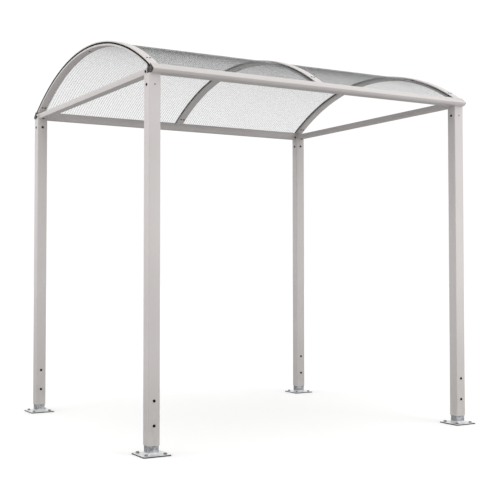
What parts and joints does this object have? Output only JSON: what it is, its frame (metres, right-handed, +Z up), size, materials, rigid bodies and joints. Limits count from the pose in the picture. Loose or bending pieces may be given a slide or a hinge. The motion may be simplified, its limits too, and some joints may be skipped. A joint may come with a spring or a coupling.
{
  "type": "bike shelter",
  "caption": "Open bike shelter: square posts on bolt-down feet carry eaves beams, end ties and arched hoops under a curved translucent roof.",
  "frame": {"origin": "middle of the plan on the ground, under the base plates", "axes": "+Z up; X along the eaves, with +X towards the right end; -Y is the front"},
  "size_m": [2.72, 2.34, 2.7716],
  "materials": {
    "frame_paint": "satin",
    "cast_fitting": "satin",
    "eaves_profile": "satin",
    "roof_profile": "satin",
    "galvanised_steel": "galvanised",
    "end_cap": "matte",
    "edge_seal": "matte",
    "twin_wall_sheet": "gloss"
  },
  "bodies": {
    "root": {"foot_front_left": "galvanised_steel", "foot_rear_left": "galvanised_steel", "foot_front_right": "galvanised_steel", "foot_rear_right": "galvanised_steel", "post_front_left": "frame_paint", "post_rear_left": "frame_paint", "post_front_right": "frame_paint", "post_rear_right": "frame_paint", "corner_fitting_front_left": "cast_fitting", "corner_fitting_rear_left": "cast_fitting", "corner_fitting_front_right": "cast_fitting", "corner_fitting_rear_right": "cast_fitting", "eaves_beam_front": "eaves_profile", "eaves_beam_rear": "eaves_profile", "beam_cap_front_left": "end_cap", "beam_cap_rear_left": "end_cap", "beam_cap_front_right": "end_cap", "beam_cap_rear_right": "end_cap", "tie_left": "frame_paint", "tie_right": "frame_paint", "hoop_left": "roof_profile", "hoop_middle": "roof_profile", "hoop_right": "roof_profile", "cover_strip_left": "roof_profile", "cover_strip_middle": "roof_profile", "cover_strip_right": "roof_profile", "roof_sheet_left": "twin_wall_sheet", "roof_sheet_right": "twin_wall_sheet", "edge_seal_left": "edge_seal", "edge_seal_right": "edge_seal"}
  },
  "joints": []
}
